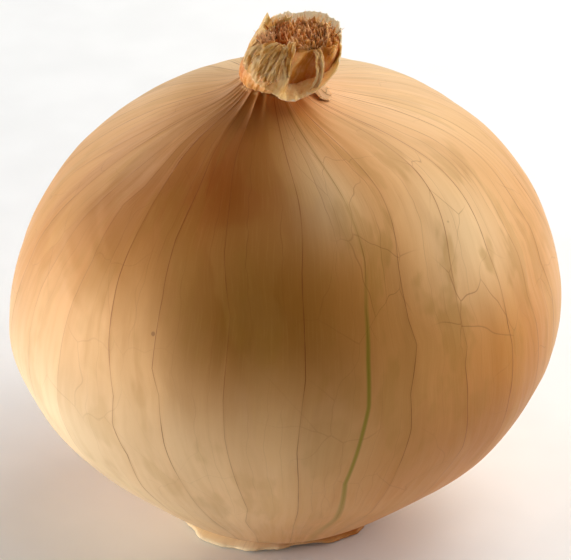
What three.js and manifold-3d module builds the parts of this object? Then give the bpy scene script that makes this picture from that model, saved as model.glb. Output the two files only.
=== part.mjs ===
// A yellow onion standing on its root plate: the bulb in its dry skin, the withered neck with its torn
// leaf sheaths, and the root plate with its trimmed roots. Millimetres, +Z up, ground at z = 0.
// A turn is an angle about +Z counted from the front (-Y) towards the right (+X).
import * as THREE from "three";
import { mergeVertices } from "three/addons/utils/BufferGeometryUtils.js";
import Module from "manifold-3d";

const wasm = await Module();
wasm.setup();

// Driving dimensions of the bulb
const GIRTH_RADIUS = 42.3; // mean radius at the widest height
const GIRTH_HEIGHT = 35.6;
const GIRTH_TILT = 0.02; // rise of the widest line per millimetre to the right
const UPPER_RISE = 36.7; // from the widest height to where the shoulders would close
const LOWER_DROP = 39; // the same, downwards
const WAIST_RADIUS = 13; // where the skin stops being drawn in and turns out into its torn lip
const THROAT_RADIUS = 5.2; // where the bulb runs into the neck
const THROAT_HEIGHT = 74.5;
const FLARE_RISE = 2.4; // how far the skin is drawn up into the throat
const FLARE_REACH = 3;
const SEAT_HEIGHT = 2; // ceiling of the recess that the root plate sits in
const SEAT_RADIUS = 10.8;
const NODE_GAP = 0.3; // clearance between neighbouring nodes

// Driving dimensions of the neck and the root plate
const NECK_FOOT = THROAT_HEIGHT + NODE_GAP;
const CORE_RADIUS = 5.2;
const CUT_HEIGHT = 81.6; // mean height of the cut
const BLADE_THICKNESS = 0.75;
const PLATE_RADIUS = 10.1;
const FOOT_RADIUS = 6; // flat spot that the onion rests on
const POCKET_TURN = 21; // degrees to where the open pocket in the neck faces

// Sideways wander of the growth axis: [height, x], the front-to-back wander: [height, y]
const AXIS_X = [
  [0, -1.2], [20, -0.4], [35.6, -0.15], [56, 0.65], [66, 1.1], [74, -1.9], [78, 0.6], [81, 1.3], [84, 2],
];
const AXIS_Y = [[0, 0], [60, 0.2], [74, 0], [84, -0.6]];

// Lip of the torn skin round the root plate: [turn in degrees, radius]
const LIP_RADIUS = [
  [-180, 14.4], [-120, 15.2], [-75, 16.2], [-60, 16.7], [-43, 17.1], [-26, 16.7], [-8, 15.9], [2, 15.1],
  [12, 14.4], [20, 14.8], [30, 15.4], [45, 16.2], [58, 16.5], [75, 15.9], [110, 14.8], [180, 14.4],
];

// Low in front the body sags a little and leans forward: a bell round a turn in degrees and a height
const SAG = { turn: -3, turnWidth: 55, height: 6.5, heightWidth: 4, down: 1, forward: 0.45 };

// Outer sheath of the neck: [turn in degrees, fold radius, fold height, lip radius, lip height].
// Behind, it stands up to its lip. In front it is folded out and hangs, lowest in front of the open pocket.
const SHEATH = [
  [-180, 7, 80, 5.7, 83.4], [-140, 7.2, 80, 5.7, 83.3], [-105, 7.4, 79.8, 5.9, 82.6],
  [-80, 7.4, 80.2, 6.4, 81.6], [-62, 6.9, 81.4, 7.5, 79.6], [-45, 6.6, 82.1, 7.9, 78.4],
  [-23, 6.5, 82, 8.1, 77.9], [-6, 6.5, 81.2, 8.4, 76.9], [6, 6.7, 79.2, 8.6, 75.9],
  [22, 6.8, 78.5, 8.7, 75.5], [38, 6.8, 79.6, 8.6, 76.2], [52, 6.6, 81.4, 8.4, 77.5],
  [66, 6.8, 81.5, 8, 79], [90, 7.4, 80.3, 6.9, 81.6], [125, 7.2, 80, 6, 82.8], [180, 7, 80, 5.7, 83.4],
];

const radians = THREE.MathUtils.degToRad;

// Numbers from 0 to 1 that are the same on every run.
function seeded(seed) {
  let state = seed;
  return () => {
    state = (state * 1664525 + 1013904223) % 4294967296;
    return state / 4294967296;
  };
}

// Smooth curve through knots [[x, y], ...]: cubic pieces, each knot's slope that of its neighbours' chord.
function through(knots, x) {
  const last = knots.length - 1;
  if (x <= knots[0][0]) return knots[0][1];
  if (x >= knots[last][0]) return knots[last][1];
  const i = knots.findIndex((knot) => knot[0] >= x) - 1;
  const slope = (k) => {
    const before = knots[Math.max(k - 1, 0)];
    const after = knots[Math.min(k + 1, last)];
    return (after[1] - before[1]) / (after[0] - before[0]);
  };
  const width = knots[i + 1][0] - knots[i][0];
  const t = (x - knots[i][0]) / width;
  const rise = t * t * (3 - 2 * t);
  const leave = t * (1 - t) * (1 - t) * width * slope(i);
  const arrive = t * t * (t - 1) * width * slope(i + 1);
  return knots[i][1] * (1 - rise) + knots[i + 1][1] * rise + leave + arrive;
}

// Value of one column of a table [[degrees, ...], ...] at a turn in radians of any size.
function around(table, turn, column) {
  const degrees = THREE.MathUtils.euclideanModulo(THREE.MathUtils.radToDeg(turn) + 180, 360) - 180;
  return through(table.map((row) => [row[0], row[column]]), degrees);
}

// Degrees from a turn in radians to a turn in degrees, the short way round.
const degreesFrom = (turn, degrees) =>
  THREE.MathUtils.euclideanModulo(THREE.MathUtils.radToDeg(turn) - degrees + 180, 360) - 180;

// Share from 0 at low to 1 at high, with soft ends.
const ease = (x, low, high) => THREE.MathUtils.smoothstep(x, low, high);

// A point at a turn, a distance from the growth axis and a height.
function aboutAxis(turn, radius, height) {
  return new THREE.Vector3(
    through(AXIS_X, height) + radius * Math.sin(turn),
    through(AXIS_Y, height) - radius * Math.cos(turn),
    height,
  );
}

const toPoints = (pairs) => pairs.map(([radius, height]) => new THREE.Vector2(radius, height));

// A lathe about +Z whose points are then moved by shape(turn, radius, height).
function shapedLathe(profile, columns, shape) {
  const geometry = new THREE.LatheGeometry(profile, columns).rotateX(Math.PI / 2);
  const position = geometry.getAttribute("position");
  for (let i = 0; i < position.count; i++) {
    const [x, y, z] = [position.getX(i), position.getY(i), position.getZ(i)];
    const turn = Math.atan2(x, -y);
    position.setXYZ(i, ...shape(turn, Math.hypot(x, y), z));
  }
  return geometry;
}

// A leaf of even thickness. middle(u, v) is its mid-surface, with u across it and v from root to lip.
// A leaf that is closed round has its last column joined to its first.
function leafBlade(middle, columns, rows, thickness, closedRound) {
  const across = closedRound ? columns : columns + 1;
  const positions = [];
  const step = 1e-3;
  for (const side of [0.5, -0.5]) {
    for (let j = 0; j <= rows; j++) {
      for (let i = 0; i < across; i++) {
        const [u, v] = [i / columns, j / rows];
        const here = middle(u, v);
        const alongU = middle(u + step, v).sub(middle(u - step, v));
        const alongV = middle(u, v + step).sub(middle(u, v - step));
        const offset = alongU.cross(alongV).setLength(side * thickness);
        positions.push(...here.add(offset));
      }
    }
  }
  const index = [];
  const far = across * (rows + 1);
  const quad = (a, b, c, d) => index.push(a, b, c, a, c, d);
  const at = (i, j) => j * across + (i % across);
  for (let i = 0; i < columns; i++) {
    for (let j = 0; j < rows; j++) {
      quad(at(i, j), at(i + 1, j), at(i + 1, j + 1), at(i, j + 1));
      quad(far + at(i, j), far + at(i, j + 1), far + at(i + 1, j + 1), far + at(i + 1, j));
    }
    quad(at(i, 0), far + at(i, 0), far + at(i + 1, 0), at(i + 1, 0));
    quad(at(i, rows), at(i + 1, rows), far + at(i + 1, rows), far + at(i, rows));
  }
  if (!closedRound) {
    for (let j = 0; j < rows; j++) {
      quad(at(0, j), at(0, j + 1), far + at(0, j + 1), far + at(0, j));
      quad(at(columns, j), far + at(columns, j), far + at(columns, j + 1), at(columns, j + 1));
    }
  }
  return new THREE.BufferGeometry()
    .setAttribute("position", new THREE.Float32BufferAttribute(positions, 3))
    .setIndex(index);
}

function toSolid(geometry) {
  const bare = geometry.clone();
  bare.deleteAttribute("normal");
  bare.deleteAttribute("uv");
  const merged = mergeVertices(bare, 1e-4);
  return new wasm.Manifold(
    new wasm.Mesh({
      numProp: 3,
      vertProperties: new Float32Array(merged.getAttribute("position").array),
      triVerts: new Uint32Array(merged.index.array),
    }),
  );
}

// The largest shell of a solid as a geometry: hollows sealed by fusing are filled, and scraps are dropped.
function toGeometry(solid) {
  const shells = solid.decompose().sort((a, b) => b.volume() - a.volume());
  const { vertProperties, triVerts } = shells[0].getMesh();
  return new THREE.BufferGeometry()
    .setAttribute("position", new THREE.BufferAttribute(vertProperties, 3))
    .setIndex(new THREE.BufferAttribute(triVerts, 1));
}

// Folds of the skin where it is gathered into the neck: sharp ridges of uneven width round the throat.
function pleat(turn) {
  const uneven = turn + 0.16 * Math.sin(2 * turn + 0.7) + 0.1 * Math.sin(5 * turn + 2.1);
  const ridge = 1 - Math.abs(Math.sin(7 * uneven)) ** 0.8;
  const strongest = 0.35 + 0.65 * Math.exp(-((degreesFrom(turn, -40) / 75) ** 2));
  return ridge * (0.75 + 0.25 * Math.sin(3 * turn + 1)) * strongest;
}

// Distance from the growth axis on the skin: a slightly oval girth with flat panels, and the pleats.
function skinRadius(turn, radius, height) {
  const body = ease(height, 3, 16) * ease(radius, 4, 24);
  const oval = 0.0038 * Math.cos(2 * turn - 2.28) + 0.0031 * Math.cos(3 * turn + 2.11);
  const panels = 0.0035 * Math.sin(8 * turn + 0.6 * Math.sin(2 * turn)) + 0.002 * Math.sin(13 * turn + 1);
  const gathered = ease(height, 69.5, 73.8);
  return radius * (1 + body * (oval + panels)) + gathered * (1.05 * pleat(turn) - 0.4);
}

// How far the widest line is lifted at a point, none at the base and at the throat.
const tilted = (x, height) => GIRTH_TILT * x * Math.sin(Math.PI * ease(height, 4, 72));

// Share of the sag at a point of the body, from 0 to 1.
function sagging(turn, height) {
  const aside = degreesFrom(turn, SAG.turn) / SAG.turnWidth;
  const above = (height - SAG.height) / SAG.heightWidth;
  return Math.exp(-(aside ** 2) - above ** 2);
}

function bulbGeometry() {
  // Section of the torn lip: [share of the way out to its edge, height]
  const lip = [[0.55, 0.15], [1, 0.2], [0.96, 0.75], [0.4, 1.15]];
  const profile = [[0, SEAT_HEIGHT], [SEAT_RADIUS, SEAT_HEIGHT], [SEAT_RADIUS + 0.2, 0.9]];
  profile.push(...lip.map(([share, height]) => [WAIST_RADIUS + share, height]));
  const lowest = -1.07; // slope angles, in radians, where the skin starts and where it meets the throat
  const highest = 1.465;
  const rows = 31;
  for (let j = 0; j <= rows; j++) {
    const slope = THREE.MathUtils.lerp(lowest, highest, 1 - (1 - j / rows) ** 1.22);
    const [sine, cosine] = [Math.abs(Math.sin(slope)), Math.cos(slope)];
    const radius = GIRTH_RADIUS * cosine ** (slope > 0 ? 0.925 : 1.633);
    const flare = FLARE_RISE * Math.exp((THROAT_RADIUS - radius) / FLARE_REACH);
    const height = slope > 0
      ? GIRTH_HEIGHT + UPPER_RISE * sine ** 1.041 + flare
      : GIRTH_HEIGHT - LOWER_DROP * sine ** 1.07;
    profile.push([radius, height]);
  }
  profile.push([THROAT_RADIUS - 0.5, THROAT_HEIGHT], [0, THROAT_HEIGHT]);
  return shapedLathe(toPoints(profile), 90, (turn, radius, height) => {
    if (radius < 1e-6) return aboutAxis(0, 0, height);
    const onLip = height < 1.3 && radius > WAIST_RADIUS;
    if (onLip) {
      const share = radius - WAIST_RADIUS;
      const waves = 0.16 * Math.sin(9 * turn + 2) + 0.14 * Math.sin(16 * turn);
      const ragged = waves + 0.14 * Math.sin(23 * turn + 1);
      const out = around(LIP_RADIUS, turn, 1) + ragged - WAIST_RADIUS;
      const lifted = 0.25 * (1 + Math.sin(5 * turn + 1));
      return aboutAxis(turn, WAIST_RADIUS + share * out, height + share * lifted);
    }
    const point = aboutAxis(turn, skinRadius(turn, radius, height), height);
    const sag = radius > SEAT_RADIUS + 1 ? sagging(turn, height) : 0; // the seat keeps its height
    point.z += tilted(point.x, height) - SAG.down * sag;
    point.y -= SAG.forward * sag;
    return point;
  });
}

// Outer sheath of the neck, a curve from the throat over its fold to its lip at every turn.
function sheathPoint(u, v) {
  const turn = u * 2 * Math.PI - Math.PI;
  const columns = [1, 2, 3, 4].map((column) => around(SHEATH, turn, column));
  const [foldRadius, foldHeight, lipRadius, lipHeight] = columns;
  const droop = ease(foldHeight - lipHeight, -0.5, 3);
  const waves = 0.28 * Math.sin(11 * turn + 1) + 0.24 * Math.sin(17 * turn + 2);
  const ragged = waves + 0.2 * Math.sin(29 * turn);
  const curledTip = 1.4 * Math.exp(-(((turn + 1.9) / 0.16) ** 2));
  const control = [
    [4.9, NECK_FOOT + 0.3],
    [THREE.MathUtils.lerp(7.1, 5.2, droop), THREE.MathUtils.lerp(76.8, foldHeight + 1, droop)],
    [foldRadius, foldHeight],
    [lipRadius + 0.4 * ragged * droop, lipHeight + ragged + curledTip],
  ];
  const weights = [(1 - v) ** 3, 3 * v * (1 - v) ** 2, 3 * v * v * (1 - v), v ** 3];
  const blend = (k) => weights.reduce((sum, weight, i) => sum + weight * control[i][k], 0);
  const crease = 0.2 * Math.sin(13 * turn + 0.5) + 0.16 * Math.sin(22 * turn);
  return aboutAxis(turn, blend(0) + crease, blend(1));
}

// A torn flap of an inner sheath. Angles are turns in degrees; it leans out by lean at its lip.
function flapPoint({ from, to, radius, foot, top, lean, torn }) {
  return (u, v) => {
    const turn = radians(from + (to - from) * u);
    const jag = torn * (Math.sin(7 * u + from) + 0.6 * Math.sin(17 * u + to));
    const height = foot + (top + jag - foot) * v;
    const curl = lean * v * v + 0.3 * Math.sin(Math.PI * 3 * u) * v;
    return aboutAxis(turn, radius + curl, height);
  };
}

// In turn: left front, the strips on either side of the pocket, two behind, and loose skin on the shoulder
const FLAPS = [
  { from: -70, to: -24, radius: 5.3, foot: 76, top: 81.9, lean: 0.9, torn: 0.4 },
  { from: -12, to: 4, radius: 5, foot: 76, top: 81.8, lean: 0.6, torn: 0.3 },
  { from: 44, to: 72, radius: 5.2, foot: 76, top: 81.6, lean: 0.8, torn: 0.35 },
  { from: 92, to: 140, radius: 5.3, foot: 76, top: 82.3, lean: 0.2, torn: 0.4 },
  { from: -150, to: -96, radius: 5.3, foot: 76, top: 82.4, lean: 0.1, torn: 0.4 },
  { from: 50, to: 96, radius: 4.8, foot: 75.2, top: 75.3, lean: 5.2, torn: 0.12 },
];

// The packed leaf bases inside the sheaths, with an open pocket at the right front.
function coreGeometry() {
  const wall = [NECK_FOOT, 76.2, 77.6, 79.2, 80.6, CUT_HEIGHT].map((height) => [CORE_RADIUS, height]);
  const cut = [0.75, 0.5, 0.25].map((share) => [CORE_RADIUS * share, CUT_HEIGHT]);
  const points = toPoints([[0, NECK_FOOT], ...wall, ...cut, [0, CUT_HEIGHT]]);
  return shapedLathe(points, 32, (turn, radius, height) => {
    const onCut = ease(height, 80.6, CUT_HEIGHT);
    const lumps = 0.4 * Math.sin(4 * turn + 2 * radius) * ease(radius, 0, 2);
    const uneven = onCut * (lumps - 0.5 + 0.5 * ease(radius, 0, 3));
    const inPocket = Math.exp(-((degreesFrom(turn, POCKET_TURN) / 17) ** 4));
    const pocket = inPocket * ease(height, 76.4, 78) * ease(radius, 2, CORE_RADIUS) * 1.9;
    return aboutAxis(turn, radius - pocket, height + uneven);
  });
}

// One frayed fibre: a slim four-sided spike whose root is sunk in the cut.
function fibreGeometry(turn, distance, length, lean) {
  const sunk = 0.8;
  const spike = new THREE.ConeGeometry(0.42, length, 4).rotateX(Math.PI / 2);
  spike.translate(0, 0, length / 2 - sunk);
  const direction = new THREE.Vector3(Math.sin(turn) * lean, -Math.cos(turn) * lean, 1).normalize();
  spike.applyQuaternion(new THREE.Quaternion().setFromUnitVectors(new THREE.Vector3(0, 0, 1), direction));
  return spike.translate(...aboutAxis(turn, distance, CUT_HEIGHT - 0.5));
}

function neckGeometry() {
  const random = seeded(11);
  let neck = toSolid(coreGeometry());
  neck = neck.add(toSolid(leafBlade(sheathPoint, 68, 7, BLADE_THICKNESS, true)));
  for (const flap of FLAPS) {
    const columns = Math.ceil((flap.to - flap.from) / 7);
    neck = neck.add(toSolid(leafBlade(flapPoint(flap), columns, 4, BLADE_THICKNESS, false)));
  }
  const fibres = 46;
  for (let i = 0; i < fibres; i++) {
    const turn = i * radians(137.5);
    const room = Math.abs(degreesFrom(turn, POCKET_TURN)) < 24 ? 2.8 : CORE_RADIUS - 0.4;
    const distance = room * Math.sqrt((i + 0.5) / fibres);
    const spike = fibreGeometry(turn, distance, 2 + 0.9 * random(), 0.1 + 0.35 * random());
    neck = neck.add(toSolid(spike));
  }
  return toGeometry(neck);
}

// One trimmed root: a short stub out of the underside of the plate that ends just clear of the ground.
function rootGeometry(turn, distance, end, lean) {
  const direction = new THREE.Vector3(Math.sin(turn) * lean, -Math.cos(turn) * lean, -1).normalize();
  const start = 1.3; // height of its root inside the plate
  const length = (end - start) / direction.z;
  const stub = new THREE.CylinderGeometry(0.3, 0.45, length, 4).rotateX(Math.PI / 2);
  stub.translate(0, 0, length / 2);
  stub.applyQuaternion(new THREE.Quaternion().setFromUnitVectors(new THREE.Vector3(0, 0, 1), direction));
  return stub.translate(...aboutAxis(turn, distance, start));
}

function rootPlateGeometry() {
  const plateTop = SEAT_HEIGHT - NODE_GAP;
  const rim = [[FOOT_RADIUS + 0.5, 0.4], [FOOT_RADIUS + 1.8, 0.9], [PLATE_RADIUS, 1.1]];
  const points = toPoints([[0, 0], [FOOT_RADIUS, 0], ...rim, [PLATE_RADIUS, plateTop], [0, plateTop]]);
  let plate = toSolid(shapedLathe(points, 44, aboutAxis));
  const random = seeded(5);
  const rings = [[FOOT_RADIUS + 0.9, 15], [FOOT_RADIUS + 2.2, 18], [PLATE_RADIUS - 0.7, 22]];
  for (const [ring, count] of rings) {
    for (let i = 0; i < count; i++) {
      const turn = ((i + 0.5 * random()) / count) * 2 * Math.PI;
      const root = rootGeometry(turn, ring, 0.2 + 0.3 * random(), 0.1 + 0.35 * random());
      plate = plate.add(toSolid(root));
    }
  }
  return toGeometry(plate);
}

function named(name, geometry, color, roughness) {
  const mesh = new THREE.Mesh(geometry, new THREE.MeshStandardMaterial({ color, roughness, metalness: 0 }));
  mesh.name = name;
  return mesh;
}

const onion = new THREE.Group();
onion.add(
  named("bulb", bulbGeometry(), 0xc08a48, 0.42),
  named("neck", neckGeometry(), 0xb89058, 0.85),
  named("root_plate", rootPlateGeometry(), 0x9a7444, 0.9),
);

export default onion;
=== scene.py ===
# A whole onion on a pale floor: papery bulb, withered neck and root plate.
# Lengths are in millimetres until a mesh is made.
# A turn is an angle about +Z, from the front (-Y) to the right (+X).
import math

import bpy
import numpy as np
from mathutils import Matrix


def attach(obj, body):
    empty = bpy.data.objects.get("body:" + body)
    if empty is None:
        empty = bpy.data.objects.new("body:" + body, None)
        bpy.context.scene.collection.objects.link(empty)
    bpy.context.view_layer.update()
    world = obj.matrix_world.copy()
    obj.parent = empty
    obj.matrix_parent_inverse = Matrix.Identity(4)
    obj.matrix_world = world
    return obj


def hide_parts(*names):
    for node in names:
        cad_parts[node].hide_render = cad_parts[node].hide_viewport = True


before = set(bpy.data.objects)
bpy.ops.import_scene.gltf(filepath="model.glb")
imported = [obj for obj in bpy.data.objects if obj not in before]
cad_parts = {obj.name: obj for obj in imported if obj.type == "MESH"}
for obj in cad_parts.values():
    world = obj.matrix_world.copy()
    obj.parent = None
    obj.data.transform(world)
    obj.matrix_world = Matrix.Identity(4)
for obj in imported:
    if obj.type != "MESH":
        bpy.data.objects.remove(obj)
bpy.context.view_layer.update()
print("frame loaded")

mm = 0.001
pi = math.pi
goldenAngle = math.radians(137.5)  # spreads points evenly over a disc

# Camera: the photograph looks down on the onion from the front
photoView = {
    "elevation": 31.0,
    "distance": 600.0,
    "focalPixels": 3913.0,
    "widthPixels": 571,
    "girthHeight": 35.6,
    "lift": 3.6,  # how far above the girth's middle the picture's middle lies, across the view
    "side": 0.0,
}


def makeCamera():
    # place = aim - distance * forward, where aim is the girth's middle lifted along the camera's own up
    tilt = math.radians(photoView["elevation"])
    forward = np.array([0, math.cos(tilt), -math.sin(tilt)])
    up = np.array([0, math.sin(tilt), math.cos(tilt)])
    aim = np.array([photoView["side"], 0, photoView["girthHeight"]]) + photoView["lift"] * up
    place = aim - photoView["distance"] * forward
    data = bpy.data.cameras.new("photoCamera")
    data.sensor_width = 36
    data.lens = photoView["focalPixels"] / photoView["widthPixels"] * data.sensor_width
    data.clip_start, data.clip_end = 0.05, 20
    camera = bpy.data.objects.new("photoCamera", data)
    camera.location = place * mm
    camera.rotation_euler = (pi / 2 - tilt, 0, 0)
    bpy.context.scene.collection.objects.link(camera)
    bpy.context.scene.camera = camera


makeCamera()
print("camera made")


# Curves and noise, all on whole arrays

def ease(x, low, high):
    # 0 below low, 1 above high, and 3t^2 - 2t^3 between them
    t = np.clip((x - low) / (high - low), 0, 1)
    return t * t * (3 - 2 * t)


def mix(a, b, share):
    # a + (b - a) * share
    return a + (b - a) * share


def through(knots, x):
    # Cubic pieces through the knots; a knot's slope is that of its neighbours' chord
    xs, ys = np.array(knots, float).T
    last = len(xs) - 1
    before = np.maximum(np.arange(last + 1) - 1, 0)
    after = np.minimum(np.arange(last + 1) + 1, last)
    slope = (ys[after] - ys[before]) / (xs[after] - xs[before])
    x = np.clip(x, xs[0], xs[-1])
    i = np.clip(np.searchsorted(xs, x) - 1, 0, last - 1)
    width = xs[i + 1] - xs[i]
    t = (x - xs[i]) / width
    rise = t * t * (3 - 2 * t)
    leave = t * (1 - t) ** 2 * width * slope[i]
    arrive = t * t * (t - 1) * width * slope[i + 1]
    return ys[i] * (1 - rise) + ys[i + 1] * rise + leave + arrive


def around(table, turn, column=1):
    # One column of a table whose first column is the turn in degrees, for turns in radians of any size
    degrees = (np.degrees(turn) + 180) % 360 - 180
    return through([(row[0], row[column]) for row in table], degrees)


def noise(across, along, seed, wrap=0):
    # Smooth noise from -1 to 1: random values at whole numbers, eased between them.
    # It repeats after wrap across.
    table = np.random.default_rng(seed).uniform(-1, 1, (256, 256))
    across, along = np.broadcast_arrays(np.asarray(across, float), np.asarray(along, float))
    i, j = np.floor(across).astype(int), np.floor(along).astype(int)
    s, t = ease(across - i, 0, 1), ease(along - j, 0, 1)
    left, right = (i % wrap, (i + 1) % wrap) if wrap else (i, i + 1)
    low = mix(table[left % 256, j % 256], table[right % 256, j % 256], s)
    high = mix(table[left % 256, (j + 1) % 256], table[right % 256, (j + 1) % 256], s)
    return mix(low, high, t)


def near(turn, middle, width):
    # Bell round a turn; the middle and the width are in degrees
    degrees = (np.degrees(turn) - middle + 180) % 360 - 180
    return np.exp(-((degrees / width) ** 2))


def bell(turn, height, middleTurn, turnWidth, middleHeight, heightWidth):
    # exp(-(turn offset / width)^2 - (height offset / width)^2), with the turns in degrees
    return near(turn, middleTurn, turnWidth) * np.exp(-(((height - middleHeight) / heightWidth) ** 2))


def folds(across, along, seed, wrap=0):
    # Sharp-crested noise from 0 to 1: one minus the size of smooth noise
    return 1 - np.abs(noise(across, along, seed, wrap))


def rough(across, along, seed, wrap=0, octaves=3):
    # Sum of noises, each twice as fine and half as strong as the one before
    total = 0
    for k in range(octaves):
        total = total + noise(across * 2**k, along * 2**k, seed + k, wrap * 2**k) / 2**k
    return total


growth = {  # wander of the growth axis: (height, place)
    "sideways": [
        (0, -1.2), (20, -0.4), (35.6, -0.15), (56, 0.65), (66, 1.1),
        (74, -1.9), (78, 0.6), (81, 1.3), (84, 2.0),
    ],
    "frontBack": [(0, 0), (60, 0.2), (74, 0), (84, -0.6)],
}


def aboutAxis(turn, radius, height):
    # axis(height) + radius * (sin turn, -cos turn), at that height
    turn, radius, height = np.broadcast_arrays(turn, radius, height)
    x = through(growth["sideways"], height) + radius * np.sin(turn)
    y = through(growth["frontBack"], height) - radius * np.cos(turn)
    return np.stack([x, y, height], -1)


# Meshes from grids of points

def corners(a):
    # The four corners of each cell of a grid, in the order that faces outwards
    return np.stack([a[..., :-1, :-1], a[..., :-1, 1:], a[..., 1:, 1:], a[..., 1:, :-1]], -1)


def gridFaces(points, closedRound, caps, uv, values):
    # Quads between rows and columns; points is (rows, columns, 3) or (copies, rows, columns, 3).
    # A cap is a fan from the middle of an end row.
    if points.ndim == 3:
        points = points[None]
        uv = None if uv is None else uv[None]
        values = {name: value[None] for name, value in values.items()}
    copies, rows, columns = points.shape[:3]
    index = np.arange(copies * rows * columns).reshape(copies, rows, columns)
    if uv is None:
        u, v = np.meshgrid(np.linspace(0, 1, columns + closedRound), np.linspace(0, 1, rows))
        uv = np.broadcast_to(np.stack([u, v], -1), (copies, rows, columns + closedRound, 2))
    if closedRound:
        index = np.concatenate([index, index[..., :1]], -1)
    vertices = points.reshape(-1, 3)
    perVertex = {name: value.reshape(-1) for name, value in values.items()}
    faces = corners(index).reshape(-1, 4).tolist()
    cornerUv = [np.stack([corners(uv[..., k]) for k in (0, 1)], -1).reshape(-1, 2)]
    for row, wanted in zip((0, rows - 1), caps):
        if not wanted:
            continue
        pole = len(vertices) + np.arange(copies)
        vertices = np.concatenate([vertices, points[:, row].mean(1)])
        for name, value in values.items():
            perVertex[name] = np.concatenate([perVertex[name], value[:, row].mean(1)])
        here, there = index[:, row, :-1], index[:, row, 1:]
        hereUv, thereUv = uv[:, row, :-1], uv[:, row, 1:]
        if row == 0:
            here, there, hereUv, thereUv = there, here, thereUv, hereUv
        fan = np.stack([here, there, np.broadcast_to(pole[:, None], here.shape)], -1)
        faces += fan.reshape(-1, 3).tolist()
        cornerUv.append(np.stack([hereUv, thereUv, (hereUv + thereUv) / 2], -2).reshape(-1, 2))
    return vertices, faces, np.concatenate(cornerUv), perVertex


def closedGrid(points, values, **more):
    # A grid that runs once round and is closed at both ends
    return {"points": points, "closedRound": True, "caps": (True, True), "values": values, **more}


def makePiece(name, grids, material, node, thickness=0.0):
    # Puts grids (dictionaries for gridFaces) into one mesh, which stands for its node
    vertices, faces, uv, values = [], [], [], {}
    start = 0
    for grid in grids:
        part = gridFaces(
            grid["points"], grid.get("closedRound", False), grid.get("caps", (False, False)),
            grid.get("uv"), grid.get("values", {}),
        )
        vertices.append(part[0])
        faces += [[start + k for k in face] for face in part[1]] if start else part[1]
        uv.append(part[2])
        for key, value in part[3].items():
            values.setdefault(key, []).append(value)
        start += len(part[0])
    mesh = bpy.data.meshes.new(name)
    mesh.from_pydata(np.concatenate(vertices) * mm, [], faces)
    layer = mesh.uv_layers.new(name="lengthwise")
    layer.data.foreach_set("uv", np.concatenate(uv).astype(np.float32).ravel())
    for key, value in values.items():
        attribute = mesh.attributes.new(key, "FLOAT", "POINT")
        attribute.data.foreach_set("value", np.concatenate(value).astype(np.float32))
    mesh.polygons.foreach_set("use_smooth", np.ones(len(mesh.polygons), bool))
    mesh.materials.append(material)
    mesh.validate()
    mesh.update()
    piece = bpy.data.objects.new(name, mesh)
    bpy.context.scene.collection.objects.link(piece)
    if thickness:
        solid = piece.modifiers.new("thickness", "SOLIDIFY")
        solid.thickness = thickness * mm
        solid.offset = 0
    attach(piece, "root")
    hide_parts(node)
    print(name, len(mesh.polygons), "faces")
    return piece


# Materials: short helpers for node trees

def newMaterial(name):
    # A material with an empty node tree
    material = bpy.data.materials.new(name)
    material.use_nodes = True
    material.node_tree.nodes.clear()
    return material, material.node_tree


def add(tree, kind, inputs=None, **settings):
    # Adds a node; an input is either another node's socket or a plain value
    node = tree.nodes.new("ShaderNode" + kind)
    for key, value in settings.items():
        setattr(node, key, value)
    for key, value in (inputs or {}).items():
        if isinstance(value, bpy.types.NodeSocket):
            tree.links.new(value, node.inputs[key])
        else:
            node.inputs[key].default_value = value
    return node


def calc(tree, operation, a, b=0.0, c=0.0):
    # One step of arithmetic on sockets or plain values
    return add(tree, "Math", {0: a, 1: b, 2: c}, operation=operation).outputs[0]


def times(tree, product, *factors):
    # Product of sockets or plain values
    for factor in factors:
        product = calc(tree, "MULTIPLY", product, factor)
    return product


def ramp(tree, value, low, high, toLow=0.0, toHigh=1.0):
    # Smooth step of a value from toLow at low to toHigh at high
    inputs = {"Value": value, "From Min": low, "From Max": high, "To Min": toLow, "To Max": toHigh}
    return add(tree, "MapRange", inputs, interpolation_type="SMOOTHSTEP").outputs["Result"]


def blend(tree, share, a, b):
    # Colour mix; a and b are colours or sockets
    node = tree.nodes.new("ShaderNodeMix")
    node.data_type = "RGBA"
    for socket, value in zip((node.inputs[0], node.inputs[6], node.inputs[7]), (share, a, b)):
        if isinstance(value, bpy.types.NodeSocket):
            tree.links.new(value, socket)
        else:
            socket.default_value = value
    return node.outputs[2]


def rgb(red, green, blue):
    # A colour named by its look on screen, 0 to 255, as the linear values that Blender wants
    def linear(c):
        c = c / 255
        return c / 12.92 if c <= 0.04045 else ((c + 0.055) / 1.055) ** 2.4
    return (linear(red), linear(green), linear(blue), 1)


def scaled(tree, vector, across, along):
    # (across * x, along * y, z)
    return add(tree, "VectorMath", {0: vector, 1: (across, along, 1)}, operation="MULTIPLY").outputs[0]


def cloud(tree, vector, scale, detail=2.0, roughness=0.5):
    # Noise from 0 to 1
    inputs = {"Vector": vector, "Scale": scale, "Detail": detail, "Roughness": roughness}
    return add(tree, "TexNoise", inputs).outputs["Fac"]


def stretched(tree, vector, across, along, detail=2.0, roughness=0.5):
    # Noise on a vector whose first two parts are scaled apart
    return cloud(tree, scaled(tree, vector, across, along), 1.0, detail, roughness)


def painted(tree, colour, coats, colours):
    # Each coat, a share and the name of a colour, blended over what is there
    for share, name in coats:
        colour = blend(tree, share, colour, colours[name])
    return colour


def finished(material, tree, inputs):
    # Closes a node tree with one principled shader
    shader = add(tree, "BsdfPrincipled", inputs)
    tree.links.new(shader.outputs[0], add(tree, "OutputMaterial").inputs[0])
    return material


# Bulb

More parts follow.
